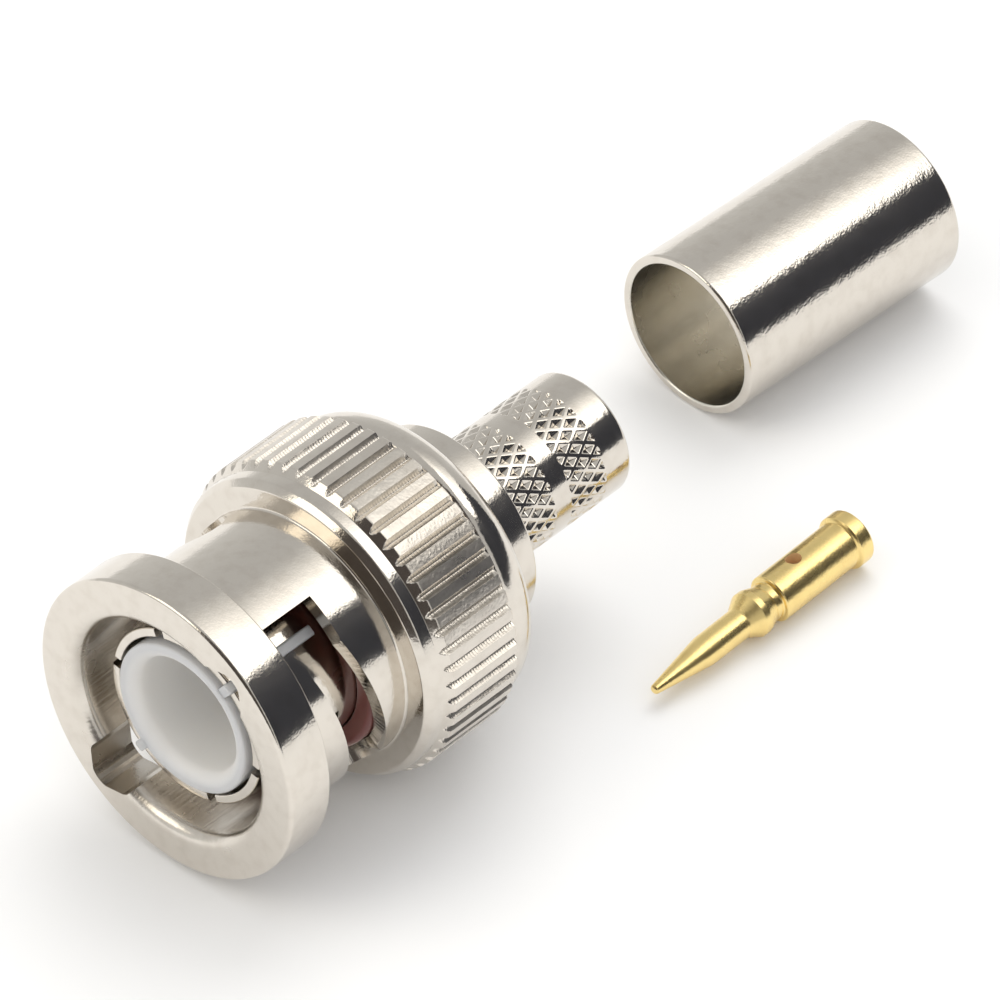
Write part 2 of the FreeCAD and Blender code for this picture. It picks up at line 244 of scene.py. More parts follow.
def revolve(name, points, columns, relief=None):
    """Closed profile turned about the plug's axis. relief(radius, station, angle) gives new radii."""
    r, y = points[:, 0][:, None], points[:, 1][:, None]
    angle = columns[None, :]
    radius = relief(r, y, angle) if relief else r + 0 * angle
    vertices = np.stack([radius * np.sin(angle), y + 0 * angle, radius * np.cos(angle)], -1).reshape(-1, 3)
    rows, count = len(points), len(columns)
    index = np.arange(rows * count).reshape(rows, count)
    ahead, beside = np.roll(index, -1, 0), np.roll(index, -1, 1)
    faces = np.stack([index, beside, np.roll(ahead, -1, 1), ahead], -1).reshape(-1, 4)
    obj = mesh_object(name, vertices, faces.tolist())
    face_out(obj)
    return obj


def face_out(obj):
    """Turn a closed mesh's faces outward."""
    bm = bmesh.new()
    bm.from_mesh(obj.data)
    bmesh.ops.recalc_face_normals(bm, faces=bm.faces)
    bm.to_mesh(obj.data)
    bm.free()


def prism(name, sections):
    """Closed solid through sections of equal point count, with triangulated sides and ends."""
    count = len(sections[0])
    vertices = [point for section in sections for point in section]
    faces = []
    for row in range(len(sections) - 1):
        for k in range(count):
            a, b = row * count + k, row * count + (k + 1) % count
            faces += [(a, b, b + count), (a, b + count, a + count)]
    last = (len(sections) - 1) * count
    faces += [tuple(range(count)), tuple(range(last + count - 1, last - 1, -1))]
    obj = mesh_object(name, vertices, faces)
    face_out(obj)
    return obj


def cut(obj, *cutters):
    """Subtract the cutters from an object and remove them."""
    for cutter in cutters:
        modifier = obj.modifiers.new("cut", "BOOLEAN")
        modifier.operation = "DIFFERENCE"
        modifier.solver = "EXACT"
        modifier.object = cutter
        bpy.context.view_layer.update()
        made = bpy.data.meshes.new_from_object(obj.evaluated_get(bpy.context.evaluated_depsgraph_get()))
        obj.modifiers.clear()
        obj.data = made
        bpy.data.objects.remove(cutter)
    smooth(obj.data)
    return obj


def around(angle):
    """Rotation about the plug's axis by degrees, from +Z towards +X."""
    return Matrix.Rotation(radians(angle), 4, "Y")


def on_circle(radius, angle, y):
    return (radius * sin(radians(angle)), y, radius * cos(radians(angle)))


# Coupling nut

def knurl_columns():
    """Column angles that follow the edges, walls and floors of the knurl's grooves."""
    pitch = 2 * pi / KNURL_COUNT
    half_land = pitch * GRIP_R / 2
    across = [0.0, 0.015, 0.04, 0.08, 0.13, 0.175, 0.205, 0.23, 0.255, 0.28, 0.305, 0.33, 0.355, 0.39]
    across = sorted({-a for a in across} | set(across)) + [half_land]
    return np.concatenate([radians(KNURL_ANGLE) + k * pitch + np.array(across) / GRIP_R
                           for k in range(KNURL_COUNT)])


def knurl_floor(off):
    """Depth of a groove's blunt vee at a distance from its middle line, in mm, with its edges eased."""
    slope = KNURL_DEPTH / KNURL_HALF_WIDTH
    walls = slope * (KNURL_HALF_WIDTH - off)
    reach = np.clip(KNURL_HALF_WIDTH + KNURL_EDGE - off, 0, None)
    eased = np.where(off > KNURL_HALF_WIDTH - KNURL_EDGE, slope * reach ** 2 / (4 * KNURL_EDGE), walls)
    return np.minimum(eased, KNURL_DEPTH - KNURL_BLUNT - off * off * KNURL_BLUNT_CURVE)


def knurl_relief(r, y, angle):
    """Radii of the grip with its grooves, which open into the crease in front of the bead."""
    pitch = 2 * pi / KNURL_COUNT
    off = np.abs((angle - radians(KNURL_ANGLE) + pitch / 2) % pitch - pitch / 2) * GRIP_R
    index = np.round((angle - radians(KNURL_ANGLE)) / pitch)
    deep = np.clip(1 - off / KNURL_HALF_WIDTH, 0, 1)
    chatter = KNURL_CHATTER * np.sin(y * KNURL_CHATTER_RATE + 3 * index + off * 9) * np.clip(deep * 3, 0, 1)
    floor = np.minimum(r, GRIP_R - knurl_floor(off) + chatter)
    groove = np.where(off < KNURL_HALF_WIDTH + KNURL_EDGE, floor, r + 0 * angle)
    inside = (y > RIM_REAR_Y - 0.1) & (y < KNURL_REAR_Y + 0.02) & (r > SHOULDER_R)
    return np.where(inside, groove, r + 0 * angle)


def channel_cutter():
    """Both entry channels in one bar with a round-cornered floor on each side."""
    side = [np.array(p, float) for p in CHANNEL_SHAPE]
    half = []
    for k, point in enumerate(side[1:-1], 1):
        half += corner_points(side[k - 1], point, side[k + 1], CHANNEL_ROUND, 15)
    half += [np.array((x, CHANNEL_CROWN_R - CHANNEL_CROWN_FALL * x * x)) for x in (0.4, 0.25, 0.1)]
    top = half + [p * (-1, 1) for p in reversed(half)]
    ring = [tuple(p) for p in top] + [tuple(-p) for p in top]
    bar = prism("cutter", [[(x, y, z) for x, z in ring] for y in (-1.0, CHANNEL_LENGTH)])
    bar.data.transform(around(CHANNEL_ANGLE))
    return bar


def slot_cutter(side):
    """One cam slot with its rounded end pocket, cut square to the axis."""
    mid_r = (BORE_R + BARREL_R) / 2
    end_y = SLOT_START_Y + SLOT_LEAD * SLOT_TURN / 360
    end_turn = SLOT_TURN + degrees(SLOT_POCKET_R / mid_r)
    turns = list(np.linspace(-4, SLOT_TURN - 13, 30))
    turns += list(end_turn - (end_turn - SLOT_TURN + 12) * (1 - np.sin(np.linspace(0.02, pi / 2, 40))))
    sections = []
    for turn in turns:
        arc = (turn - SLOT_TURN) * radians(1) * mid_r
        reach = sqrt(max(SLOT_POCKET_R ** 2 - arc ** 2, 0.0004)) if abs(arc) <= SLOT_POCKET_R else 0
        centre = SLOT_START_Y + SLOT_LEAD * turn / 360
        fronts = ([end_y - reach] if reach else []) + ([centre - SLOT_WIDTH / 2] if turn <= SLOT_TURN else [])
        rears = ([end_y + reach] if reach else []) + ([centre + SLOT_WIDTH / 2] if turn <= SLOT_TURN else [])
        front, rear = min(fronts), max(rears)
        sections.append([on_circle(radius, turn, y) for radius, y in
                         ((CUT_INSIDE_R, front), (CUT_OUTSIDE_R, front),
                          (CUT_OUTSIDE_R, rear), (CUT_INSIDE_R, rear))])
    slot = prism("cutter", sections)
    slot.data.transform(around(SLOT_ANGLE + 180 * side))
    return slot


def make_nut():
    profile = outline([
        (BORE_R, 0, 0.62),
        (FLANGE_R, 0, 0.2),
        (FLANGE_R, FLANGE_LENGTH, 0.08),
        (BARREL_R, FLANGE_LENGTH, 0.05),
        (BARREL_R, SHOULDER_Y, 0.12),
        (SHOULDER_R, SHOULDER_Y, 0.12),
        (RIM_R, RIM_Y, 0.25),
        (RIM_REAR_R, RIM_REAR_Y, 0.06),
        (GRIP_R, GRIP_Y, 0.2),
        (GRIP_R, KNURL_REAR_Y, 0.06),
        (BEAD_ROOT_R, KNURL_REAR_Y + 0.02, 0.03),
        (BEAD_R, KNURL_REAR_Y + 0.4, 0.7),
        (BEAD_R, NUT_LENGTH, 1.35),
        (POCKET_R, NUT_LENGTH, 0.08),
        (POCKET_R, WEB_REAR_Y, 0),
        (WEB_BORE_R, WEB_REAR_Y, 0),
        (WEB_BORE_R, WEB_Y, 0),
        (BORE_R, WEB_Y, 0),
    ])

    def spacing(point):
        r, y = point
        if r < SHOULDER_R - 0.02 or y < SHOULDER_Y - 0.01:
            return 2.5
        return 0.03 if RIM_REAR_Y - 0.1 <= y < KNURL_REAR_Y else 0.5

    nut = revolve("nut", refined(profile, spacing), knurl_columns(), knurl_relief)
    return cut(nut, channel_cutter(), slot_cutter(0), slot_cutter(1))


# Plug body, insulator and gasket

def make_contact():
    profile = outline([
        (CONTACT_BORE_R, CONTACT_FRONT_Y, 0.06),
        (CONTACT_R, CONTACT_FRONT_Y, 0.12),
        (CONTACT_WAIST_R, CONTACT_WAIST_Y, 0.5),
        (NECK_R, NECK_Y, 0.5),
        (NECK_R, BODY_FLANGE_Y, 0),
        (BODY_FLANGE_R, BODY_FLANGE_Y, 0.05),
        (BODY_FLANGE_R, BODY_FLANGE_REAR_Y, 0.05),
        (HUB_R, BODY_FLANGE_REAR_Y, 0),
        (HUB_R, HUB_REAR_Y, 0),
        (SPIGOT_R, HUB_REAR_Y, 0),
        (SPIGOT_R, SPIGOT_REAR_Y, 0),
        (SPIGOT_BORE_R, SPIGOT_REAR_Y, 0),
        (SPIGOT_BORE_R, INSULATOR_SEAT_Y, 0),
        (INSULATOR_SEAT_R, INSULATOR_SEAT_Y, 0),
        (INSULATOR_SEAT_R, CONTACT_SLIT_Y, 0),
        (CONTACT_BORE_R, CONTACT_SLIT_Y, 0),
    ])
    contact = revolve("outer_contact", profile, even_columns(360))
    half = CONTACT_SLIT_WIDTH / 2
    box = [(-half, 3.3), (half, 3.3), (half, 4.9), (-half, 4.9)]
    cutters = []
    for k in range(CONTACT_SLITS):
        slit = prism("cutter", [[(x, y, z) for x, z in box] for y in (0.5, CONTACT_SLIT_Y)])
        slit.data.transform(around(RIB_ANGLE + 360 / CONTACT_SLITS * k))
        cutters.append(slit)
    return cut(contact, *cutters)


def make_insulator():
    profile = outline([
        (SOCKET_MOUTH_R, INSULATOR_FRONT_Y, 0.62),
        (INSULATOR_R, INSULATOR_FRONT_Y, 0.1),
        (INSULATOR_REAR_R, INSULATOR_SHOULDER_Y, 0),
        (SOCKET_R, INSULATOR_SHOULDER_Y, 0),
        (SOCKET_R, TAIL_REAR_Y, 0),
        (PIN_SEAT_R, TAIL_REAR_Y, 0),
        (PIN_SEAT_R, PIN_SEAT_Y, 0),
        (PIN_HOLE_R, PIN_SEAT_Y, 0),
        (PIN_HOLE_R, SOCKET_Y, 0.1),
        (SOCKET_R, SOCKET_Y, 0.5),
    ])
    sleeve = revolve("insulator_sleeve", profile, even_columns(256))
    ribs = []
    for side in (0, 1):
        rib = prism("insulator_rib_%d" % (side + 1), [
            [(x * 0.9, RIB_FRONT_Y, z - (0.04 if z > INSULATOR_R else 0)) for x, z in RIB_SECTION],
            [(x, RIB_FRONT_Y + 0.05, z) for x, z in RIB_SECTION],
            [(x, RIB_REAR_Y, z) for x, z in RIB_SECTION],
        ])
        rib.data.transform(around(RIB_ANGLE + 180 * side))
        ribs.append(rib)
    return [sleeve, *ribs]


def make_gasket():
    return revolve("gasket_ring", outline([
        (GASKET_BORE_R, GASKET_Y, 0.1),
        (GASKET_R, GASKET_Y, 0.3),
        (GASKET_R, GASKET_REAR_Y, 0.3),
        (GASKET_BORE_R, GASKET_REAR_Y, 0.1),
    ]), even_columns(192))


# Rear bush

def diamond_relief(r, y, angle):
    """Radii of the stem with sunk four-sided pyramids between two families of thin ridges."""
    sunk = 0 * (r + angle)
    for start, end in DIAMOND_BANDS:
        u = angle * DIAMOND_COUNT / (2 * pi)
        v = (y - start) / DIAMOND_PITCH
        one = 1 - np.abs(((u + v) % 1) * 2 - 1)
        two = 1 - np.abs(((u - v) % 1) * 2 - 1)
        pit = np.clip(np.minimum(one, two) - DIAMOND_RIDGE, 0, 1) / (1 - DIAMOND_RIDGE)
        fade = np.clip((y - start) / DIAMOND_FADE, 0, 1) * np.clip((end - y) / DIAMOND_FADE, 0, 1)
        sunk = sunk + DIAMOND_DEPTH * pit * fade
    return np.where(r > 2.6, r - sunk, r + 0 * angle)


def make_bush():
    profile = outline([
        (BUSH_SEAT_R, HUB_REAR_Y, 0),
        (BUSH_R, HUB_REAR_Y, 0),
        (BUSH_R, BUSH_REAR_Y, 0.12),
        (STEM_R, BUSH_REAR_Y, 0.05),
        (STEM_R, STEM_REAR_Y, 0.22),
        (STEM_BORE_R, STEM_REAR_Y, 0.1),
        (STEM_BORE_R, BUSH_SEAT_Y, 0),
        (BUSH_SEAT_R, BUSH_SEAT_Y, 0),
    ])

    def spacing(point):
        r, y = point
        return 0.05 if r > 2.7 and any(a - 0.05 < y < b + 0.05 for a, b in DIAMOND_BANDS) else 0.8

    return revolve("rear_bush_shell", refined(profile, spacing), even_columns(DIAMOND_COUNT * 24),
                   diamond_relief)


# Loose pieces

def make_ferrule():
    ferrule = revolve("ferrule_tube", outline([
        (FERRULE_R - FERRULE_WALL, 0, 0.12),
        (FERRULE_R, 0, 0.16),
        (FERRULE_R, FERRULE_LENGTH, 0.16),
        (FERRULE_R - FERRULE_WALL, FERRULE_LENGTH, 0.12),
    ]), even_columns(360))
    place = Matrix.Translation(Vector((FERRULE_X, FERRULE_Y, GROUND_Z + FERRULE_R)) * MM)
    ferrule.data.transform(place @ Matrix.Rotation(-radians(FERRULE_YAW), 4, "Z"))
    return ferrule


def make_pin():
    pin = revolve("contact_pin", outline([
        (NEAR_AXIS, 0.0, 0),
        (PIN_TIP_R, 0.0, 0.13),
        (PIN_SHAFT_R, 3.08, 2.0),
        (PIN_SHAFT_R, 5.25, 0.3),
        (PIN_COLLAR_R, PIN_CREST_Y, 0.03),
        (PIN_COLLAR_R, 6.2, 0.12),
        (PIN_NECK_R, 6.75, 0.2),
        (PIN_NECK_R, 7.1, 0.08),
        (PIN_BARREL_R, 7.15, 0.1),
        (PIN_BARREL_R, 11.5, 0.06),
        (1.16, PIN_RIM_Y, 0.05),
        (PIN_RIM_R, 11.62, 0.05),
        (PIN_RIM_R, PIN_LENGTH, 0.1),
        (PIN_BORE_R, PIN_LENGTH, 0.06),
        (PIN_BORE_R, PIN_BORE_Y, 0),
        (NEAR_AXIS, PIN_BORE_Y, 0),
    ]), even_columns(160))
    drill = np.array([(0.001, 0.0), (SIGHT_HOLE_R, 0.0), (SIGHT_HOLE_R, 1.4), (0.001, 1.4)])
    hole = revolve("cutter", drill, even_columns(48))
    hole.data.transform(Matrix.Translation((0, SIGHT_HOLE_Y * MM, 0)) @ Matrix.Rotation(pi / 2, 4, "X"))
    hole.data.transform(around(SIGHT_HOLE_TURN))
    cut(pin, hole)
    place = Matrix.Translation(Vector((PIN_X, PIN_Y, GROUND_Z + PIN_HEIGHT)) * MM)
    pin.data.transform(place @ Matrix.Rotation(PIN_TILT, 4, "X"))
    return pin


# Materials

def node(tree, kind, **inputs):
    """Shader node with its unlinked inputs set by name."""
    made = tree.nodes.new(kind)
    for name, value in inputs.items():
        made.inputs[name.replace("_", " ")].default_value = value
    return made


def base_material(name, colour, metallic, roughness):
    material = bpy.data.materials.new(name)
    material.use_nodes = True
    tree = material.node_tree
    shader = tree.nodes["Principled BSDF"]
    shader.inputs["Base Color"].default_value = (*colour, 1)
    shader.inputs["Metallic"].default_value = metallic
    shader.inputs["Roughness"].default_value = roughness
    return material, tree, shader


def ramp(tree, source, low, high, out_low, out_high):
    """Source remapped from one range to another."""
    made = node(tree, "ShaderNodeMapRange", From_Min=low, From_Max=high, To_Min=out_low, To_Max=out_high)
    tree.links.new(source, made.inputs["Value"])
    return made.outputs["Result"]


def noise(tree, coordinates, scale, detail=2.0):
    made = node(tree, "ShaderNodeTexNoise", Scale=scale, Detail=detail)
    tree.links.new(coordinates, made.inputs["Vector"])
    return made.outputs["Fac"]


def plated(name, colour, smooth, rough, pebble, pebble_scale, swell=2.0, along=1.0):
    """Plated metal: orange peel, drawn out along Y where along is small, and clouds in gloss and tint."""
    material, tree, shader = base_material(name, colour, 1.0, smooth)
    place = tree.nodes.new("ShaderNodeTexCoord").outputs["Object"]
    cloud = noise(tree, place, 420.0, 4.0)
    tree.links.new(ramp(tree, cloud, 0.35, 0.7, smooth, rough), shader.inputs["Roughness"])
    tint = node(tree, "ShaderNodeMixRGB")
    tint.inputs["Color1"].default_value = (*colour, 1)
    tint.inputs["Color2"].default_value = (*(c * f for c, f in zip(colour, (0.92, 0.91, 0.9))), 1)
    tree.links.new(ramp(tree, noise(tree, place, 1600.0, 5.0), 0.45, 0.75, 0.0, 1.0), tint.inputs["Fac"])
    tree.links.new(tint.outputs["Color"], shader.inputs["Base Color"])
    grain = tree.nodes.new("ShaderNodeVectorMath")
    grain.operation = "MULTIPLY"
    grain.inputs[1].default_value = (1, along, 1)
    tree.links.new(place, grain.inputs[0])
    place = grain.outputs["Vector"]
    fine = node(tree, "ShaderNodeBump", Strength=1.0, Distance=pebble)
    tree.links.new(noise(tree, place, pebble_scale, 3.0), fine.inputs["Height"])
    broad = node(tree, "ShaderNodeBump", Strength=1.0, Distance=pebble * swell)
    tree.links.new(noise(tree, place, pebble_scale / 4, 2.0), broad.inputs["Height"])
    tree.links.new(fine.outputs["Normal"], broad.inputs["Normal"])
    tree.links.new(broad.outputs["Normal"], shader.inputs["Normal"])
    return material


def satin_plastic():
    """White plastic with painted shade: a little greyer on the outer ring, which faces away from the light,
    than down its bore, which is painted lighter.
    """
    material, tree, shader = base_material("white_plastic", (0.6, 0.6, 0.6), 0.0, 0.36)
    shader.inputs["Subsurface Weight"].default_value = 0.8
    shader.inputs["Subsurface Radius"].default_value = (1.0, 0.95, 0.9)
    shader.inputs["Subsurface Scale"].default_value = 0.0015
    place = tree.nodes.new("ShaderNodeTexCoord").outputs["Object"]
    flat = tree.nodes.new("ShaderNodeVectorMath")
    flat.operation = "MULTIPLY"
    flat.inputs[1].default_value = (1, 0, 1)
    radius = tree.nodes.new("ShaderNodeVectorMath")
    radius.operation = "LENGTH"
    tree.links.new(place, flat.inputs[0])
    tree.links.new(flat.outputs["Vector"], radius.inputs[0])
    # Painted shade on the outer ring and painted light down the bore: the base colour changes with the
    # distance from the axis.
    ring_shade_tone = node(tree, "ShaderNodeMixRGB", Color1=(0.77, 0.755, 0.73, 1), Color2=(0.52, 0.525, 0.535, 1))
    tree.links.new(ramp(tree, radius.outputs["Value"], 0.0027, 0.0032, 0.0, 1.0), ring_shade_tone.inputs["Fac"])
    tree.links.new(ring_shade_tone.outputs["Color"], shader.inputs["Base Color"])
    bump = node(tree, "ShaderNodeBump", Strength=1.0, Distance=2e-6)
    tree.links.new(noise(tree, place, 2500.0, 2.0), bump.inputs["Height"])
    tree.links.new(bump.outputs["Normal"], shader.inputs["Normal"])
    tree.links.new(ramp(tree, noise(tree, place, 700.0, 3.0), 0.3, 0.7, 0.3, 0.42),
                   shader.inputs["Roughness"])
    return material


def silicone():
    material, tree, shader = base_material("red_rubber", (0.15, 0.045, 0.04), 0.0, 0.3)
    place = tree.nodes.new("ShaderNodeTexCoord").outputs["Object"]
    mix = node(tree, "ShaderNodeMixRGB")
    mix.inputs["Color1"].default_value = (0.14, 0.042, 0.037, 1)
    mix.inputs["Color2"].default_value = (0.19, 0.056, 0.05, 1)
    tree.links.new(noise(tree, place, 1200.0, 3.0), mix.inputs["Fac"])
    tree.links.new(mix.outputs["Color"], shader.inputs["Base Color"])
    bump = node(tree, "ShaderNodeBump", Strength=1.0, Distance=4e-6)
    tree.links.new(noise(tree, place, 5000.0, 2.0), bump.inputs["Height"])
    tree.links.new(bump.outputs["Normal"], shader.inputs["Normal"])
    return material


NICKEL = (0.71, 0.665, 0.6)
GOLD = (0.97, 0.75, 0.32)
BRONZE = (0.72, 0.58, 0.38)

nickel = plated("nickel_nut", NICKEL, 0.1, 0.15, 2.4e-6, 11000.0)
nickel_cut = plated("nickel_cut", NICKEL, 0.27, 0.36, 1.3e-5, 7000.0, 1.0, 1.4)
nickel_inner = plated("nickel_inner", NICKEL, 0.2, 0.3, 7e-6, 7000.0, 1.0, 0.1)
nickel_body = plated("nickel_body", NICKEL, 0.1, 0.16, 2.4e-6, 11000.0)
nickel_ferrule = plated("nickel_ferrule", NICKEL, 0.1, 0.14, 5e-6, 11000.0)
# The ferrule's inner wall is rougher than its outside. It is also painted lighter than the nickel, which is
# painted light that brightens the inside of the tube.
nickel_bore_lightened = plated("nickel_bore_lightened", (0.78, 0.745, 0.67), 0.22, 0.3, 1.5e-6, 5000.0, 1.0, 0.1)
gold = plated("gold", GOLD, 0.24, 0.32, 4e-6, 9000.0)
# Painted reflection: inside the pin's bore and sight hole, a matt orange-brown non-metal stands in for light
# reflected round and round inside the gold.
gold_bore_painted_reflection = plated("gold_bore_painted_reflection", (0.76, 0.5, 0.25), 0.5, 0.6, 2e-6, 9000.0)
gold_bore_painted_reflection.node_tree.nodes["Principled BSDF"].inputs["Metallic"].default_value = 0.0
bronze = plated("spring_metal", BRONZE, 0.2, 0.3, 1.2e-6, 6000.0)
plastic = satin_plastic()
rubber = silicone()


def face_data(obj):
    """Face centres in millimetres and face normals."""
    centres, normals = (np.empty(len(obj.data.polygons) * 3) for _ in range(2))
    obj.data.polygons.foreach_get("center", centres)
    obj.data.polygons.foreach_get("normal", normals)
    return centres.reshape(-1, 3) / MM, normals.reshape(-1, 3)


def in_groove(centres, normals):
    """True on the faces of the knurled grip, its grooves and its lands."""
    r = np.hypot(centres[:, 0], centres[:, 2])
    pitch = 2 * pi / KNURL_COUNT
    off = (np.arctan2(centres[:, 0], centres[:, 2]) - radians(KNURL_ANGLE) + pitch / 2) % pitch - pitch / 2
    behind_front = (centres[:, 1] > GRIP_Y - 0.02) | (np.abs(off) * GRIP_R < KNURL_HALF_WIDTH) & (
        np.abs(normals[:, 1]) < 0.3)
    return ((centres[:, 1] > RIM_REAR_Y) & (centres[:, 1] < KNURL_REAR_Y - 0.03)
            & (r > SHOULDER_R) & behind_front)


def in_mouth(centres, normals):
    """True on the nut's rounded mouth, its bore and its entry channels."""
    r = np.hypot(centres[:, 0], centres[:, 2])
    inward = centres[:, 0] * normals[:, 0] + centres[:, 2] * normals[:, 2] < -0.1
    return (centres[:, 1] < SHOULDER_Y) & inward & (r < FLANGE_R - 0.3)


def in_pin_bore(centres, normals):
    """True inside the pin's bore and its sight hole."""
    along = centres[:, 1] - PIN_Y
    r = np.hypot(centres[:, 0] - PIN_X, centres[:, 2] - GROUND_Z - PIN_HEIGHT - along * tan(PIN_TILT))
    return (r < PIN_BARREL_R - 0.04) & (along > 8) & (along < PIN_LENGTH - 0.1)


def in_bore(centres, normals):
    """True on the ferrule's inner wall, whose faces look at its axis."""
    return ((centres[:, 0] - FERRULE_X) * normals[:, 0]
            + (centres[:, 2] - GROUND_Z - FERRULE_R) * normals[:, 2]) < -1


DRESS = [
    (make_nut(), "coupling_nut", "nut", nickel, "nickel_nut"),
    (make_contact(), "plug_body", "plug", nickel_body, "nickel_body"),
    (make_gasket(), "gasket", "plug", rubber, "red_rubber"),
    (make_bush(), "rear_bush", "plug", nickel_body, "nickel_body"),
    (make_ferrule(), "crimp_ferrule", "plug", nickel_ferrule, "nickel_ferrule"),
    (make_pin(), "centre_pin", "plug", gold, "gold"),
]
DRESS += [(piece, "insulator", "plug", plastic, "white_plastic") for piece in make_insulator()]

SECOND = {
    "nut": ((nickel_cut, in_groove), (nickel_inner, in_mouth)),
    "ferrule_tube": ((nickel_bore_lightened, in_bore),),
    "contact_pin": ((gold_bore_painted_reflection, in_pin_bore),),
}
for piece, stands_for, body, material, slot in DRESS:
    piece.data.materials.clear()
    piece.data.materials.append(material)
    for number, (other, chosen) in enumerate(SECOND.get(piece.name, ()), 1):
        piece.data.materials.append(other)
        for face in np.flatnonzero(chosen(*face_data(piece))).tolist():
            piece.data.polygons[face].material_index = number
    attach(piece, body)
    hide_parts(stands_for)

for name in ("wave_washer_front", "wave_washer_rear", "slip_washer"):
    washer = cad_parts[name]
    washer.data.materials.clear()
    washer.data.materials.append(bronze)
    if name != "slip_washer":
        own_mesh(washer)


# Studio

def plain(name, colour):
    return base_material(name, colour, 0.0, 0.9)[0]


def panel(name, corners, material):
    """Flat stage panel from corner points in metres."""
    mesh = bpy.data.meshes.new(name)
    mesh.from_pydata(corners, [], [tuple(range(len(corners)))])
    mesh.materials.append(material)
    obj = bpy.data.objects.new(name, mesh)
    bpy.context.scene.collection.objects.link(obj)
    return obj


FLOOR_REACH = 6.0
panel("floor", [(x, y, GROUND_Z * MM) for x, y in
                ((-FLOOR_REACH, -FLOOR_REACH), (FLOOR_REACH, -FLOOR_REACH),
                 (FLOOR_REACH, FLOOR_REACH), (-FLOOR_REACH, FLOOR_REACH))],
      plain("floor_white", (0.93, 0.93, 0.93)))


def compass(bearing, reach, height):
    """Point at a bearing from +Y towards +X, a distance and a height, in metres."""
    return Vector((reach * sin(radians(bearing)), reach * cos(radians(bearing)), height))


def only_mirrored(obj):
    """Leave an object to the metal's reflections alone."""
    obj.visible_camera = False
    obj.visible_diffuse = False
    obj.visible_shadow = False


def standing_card(name, start, end, top, colour):
    """Upright card on the floor between two bearings."""
    foot = GROUND_Z * MM
    card = panel(name, [compass(start, CARD_REACH, foot), compass(end, CARD_REACH, foot),
                        compass(end, CARD_REACH, top), compass(start, CARD_REACH, top)],
                 plain(name + "_paint", colour))
    only_mirrored(card)


# A dark card low at the back right gives the metal its one deep band, as a studio flag does. The other
# stands for the dark room behind the camera, which faces turned to the front pick up.
CARD_REACH = 0.6
standing_card("dark_card", 12, 100, 0.47, (0.028, 0.03, 0.04))
standing_card("dark_room", 122, 192, 1.1, (0.06, 0.05, 0.046))

# A soft box above the card, fading out to the left, makes the broad highlight beside that band.
BOX_BEARING = 24.0
BOX_ELEVATION = 50.0
BOX_REACH = 0.55
BOX_LEFT, BOX_RIGHT, BOX_BOTTOM, BOX_TOP = -0.37, 0.34, -0.101, 0.28
BOX_FADE_END = 0.03
BOX_GLOW = 2.3


def soft_box():
    material = bpy.data.materials.new("soft_box_glow")
    material.use_nodes = True
    tree = material.node_tree
    tree.nodes.clear()
    split = tree.nodes.new("ShaderNodeSeparateXYZ")
    tree.links.new(tree.nodes.new("ShaderNodeTexCoord").outputs["Object"], split.inputs[0])
    fade = tree.nodes.new("ShaderNodeMath")
    fade.operation = "POWER"
    fade.inputs[1].default_value = 2.0
    tree.links.new(ramp(tree, split.outputs["X"], BOX_LEFT, BOX_FADE_END, 0.0, 1.0), fade.inputs[0])
    mix = tree.nodes.new("ShaderNodeMixShader")
    tree.links.new(fade.outputs[0], mix.inputs[0])
    tree.links.new(tree.nodes.new("ShaderNodeBsdfTransparent").outputs[0], mix.inputs[1])
    glow = tree.nodes.new("ShaderNodeEmission")
    glow.inputs["Color"].default_value = (1.0, 0.98, 0.94, 1)
    glow.inputs["Strength"].default_value = BOX_GLOW
    tree.links.new(glow.outputs[0], mix.inputs[2])
    tree.links.new(mix.outputs[0], tree.nodes.new("ShaderNodeOutputMaterial").inputs["Surface"])
    box = panel("soft_box", [(BOX_LEFT, BOX_BOTTOM, 0), (BOX_RIGHT, BOX_BOTTOM, 0),
                             (BOX_RIGHT, BOX_TOP, 0), (BOX_LEFT, BOX_TOP, 0)], material)
    level = BOX_REACH * cos(radians(BOX_ELEVATION))
    box.location = compass(BOX_BEARING, level, BOX_REACH * sin(radians(BOX_ELEVATION)))
    box.rotation_mode = "XYZ"
    box.rotation_euler = (radians(90 + BOX_ELEVATION), 0, -radians(BOX_BEARING))
    only_mirrored(box)


soft_box()


def area_light(name, place, aim, width, height, power, colour, mirrored=False):
    data = bpy.data.lights.new(name, "AREA")
    data.shape = "RECTANGLE"
    data.size, data.size_y = width, height
    data.energy = power
    data.color = colour
    lamp = bpy.data.objects.new(name, data)
    lamp.location = place
    lamp.rotation_mode = "QUATERNION"
    lamp.rotation_quaternion = (Vector(aim) - Vector(place)).to_track_quat("-Z", "Y")
    lamp.visible_camera = False
    lamp.visible_glossy = mirrored
    bpy.context.scene.collection.objects.link(lamp)


OBJECT_CENTRE = Vector((0, 0.02, 0))
area_light("key", compass(-25, 0.5, 0.8), OBJECT_CENTRE, 0.7, 0.7, 3.0, (1.0, 0.99, 0.97))
area_light("front_fill", compass(212, 0.5, 0.42), OBJECT_CENTRE, 0.38, 0.36, 0.7, (1.0, 0.93, 0.79),
           mirrored=True)

TENT_REACH = 4.0
TENT_LOW = (0.9, 0.9, 0.89)
TENT_MIDDLE = (0.72, 0.72, 0.71)
TENT_HIGH = (0.59, 0.59, 0.585)
TENT_MIDDLE_Z = 0.07 * TENT_REACH
TENT_HIGH_Z = 0.6 * TENT_REACH


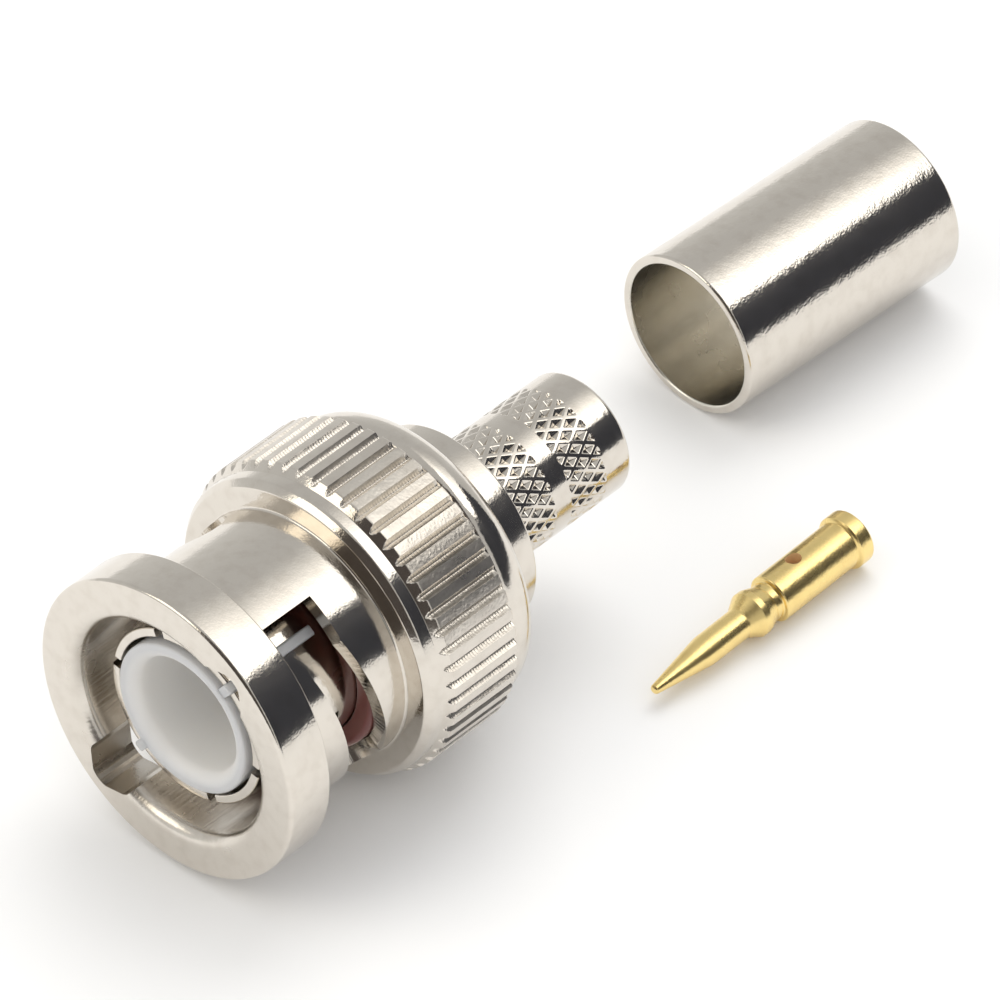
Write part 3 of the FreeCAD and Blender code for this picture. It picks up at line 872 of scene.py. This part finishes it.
def light_tent():
    """Cloth dome round the table, shaded toward its top, for the metal to mirror."""
    material = bpy.data.materials.new("tent_cloth")
    material.use_nodes = True
    material.cycles.emission_sampling = "NONE"
    tree = material.node_tree
    tree.nodes.clear()
    split = tree.nodes.new("ShaderNodeSeparateXYZ")
    tree.links.new(tree.nodes.new("ShaderNodeTexCoord").outputs["Object"], split.inputs[0])
    low = node(tree, "ShaderNodeMixRGB", Color1=(*TENT_LOW, 1), Color2=(*TENT_MIDDLE, 1))
    tree.links.new(ramp(tree, split.outputs["Z"], 0.0, TENT_MIDDLE_Z, 0.0, 1.0), low.inputs["Fac"])
    high = node(tree, "ShaderNodeMixRGB", Color2=(*TENT_HIGH, 1))
    tree.links.new(ramp(tree, split.outputs["Z"], TENT_MIDDLE_Z, TENT_HIGH_Z, 0.0, 1.0), high.inputs["Fac"])
    tree.links.new(low.outputs["Color"], high.inputs["Color1"])
    glow = tree.nodes.new("ShaderNodeEmission")
    tree.links.new(high.outputs["Color"], glow.inputs["Color"])
    tree.links.new(glow.outputs[0], tree.nodes.new("ShaderNodeOutputMaterial").inputs["Surface"])
    mesh = bpy.data.meshes.new("light_tent")
    bm = bmesh.new()
    bmesh.ops.create_uvsphere(bm, u_segments=96, v_segments=96, radius=TENT_REACH)
    bm.to_mesh(mesh)
    bm.free()
    mesh.materials.append(material)
    tent = bpy.data.objects.new("light_tent", mesh)
    bpy.context.scene.collection.objects.link(tent)
    only_mirrored(tent)
    tent.visible_transmission = False


light_tent()

DIFFUSE_LEVEL = 0.92


def world_light():
    """White to the camera, in metal and through glass, and even light on matt surfaces."""
    world = bpy.data.worlds.new("studio")
    bpy.context.scene.world = world
    world.use_nodes = True
    tree = world.node_tree
    ray = tree.nodes.new("ShaderNodeLightPath")
    seen = ray.outputs["Is Camera Ray"]
    for kind in ("Is Glossy Ray", "Is Transmission Ray"):
        either = tree.nodes.new("ShaderNodeMath")
        either.operation = "MAXIMUM"
        tree.links.new(seen, either.inputs[0])
        tree.links.new(ray.outputs[kind], either.inputs[1])
        seen = either.outputs[0]
    mix = node(tree, "ShaderNodeMixRGB", Color1=(DIFFUSE_LEVEL, DIFFUSE_LEVEL, DIFFUSE_LEVEL, 1),
               Color2=(1, 1, 1, 1))
    tree.links.new(seen, mix.inputs["Fac"])
    tree.links.new(mix.outputs["Color"], tree.nodes["Background"].inputs["Color"])


world_light()

# Camera at the photograph's angle
camera_data = bpy.data.cameras.new("camera")
camera_data.sensor_width = 36
camera_data.lens = 432
camera_data.clip_start = 0.01
camera_data.clip_end = 50
camera = bpy.data.objects.new("camera", camera_data)
camera.location = Vector((247.95, -249.64, 326.05)) * MM
aim = Vector((-5.057, 25.256, -7.25)) * MM
camera.rotation_mode = "QUATERNION"
camera.rotation_quaternion = (aim - camera.location).to_track_quat("-Z", "Y")
bpy.context.scene.collection.objects.link(camera)
bpy.context.scene.camera = camera
bpy.context.scene.view_settings.view_transform = "Standard"
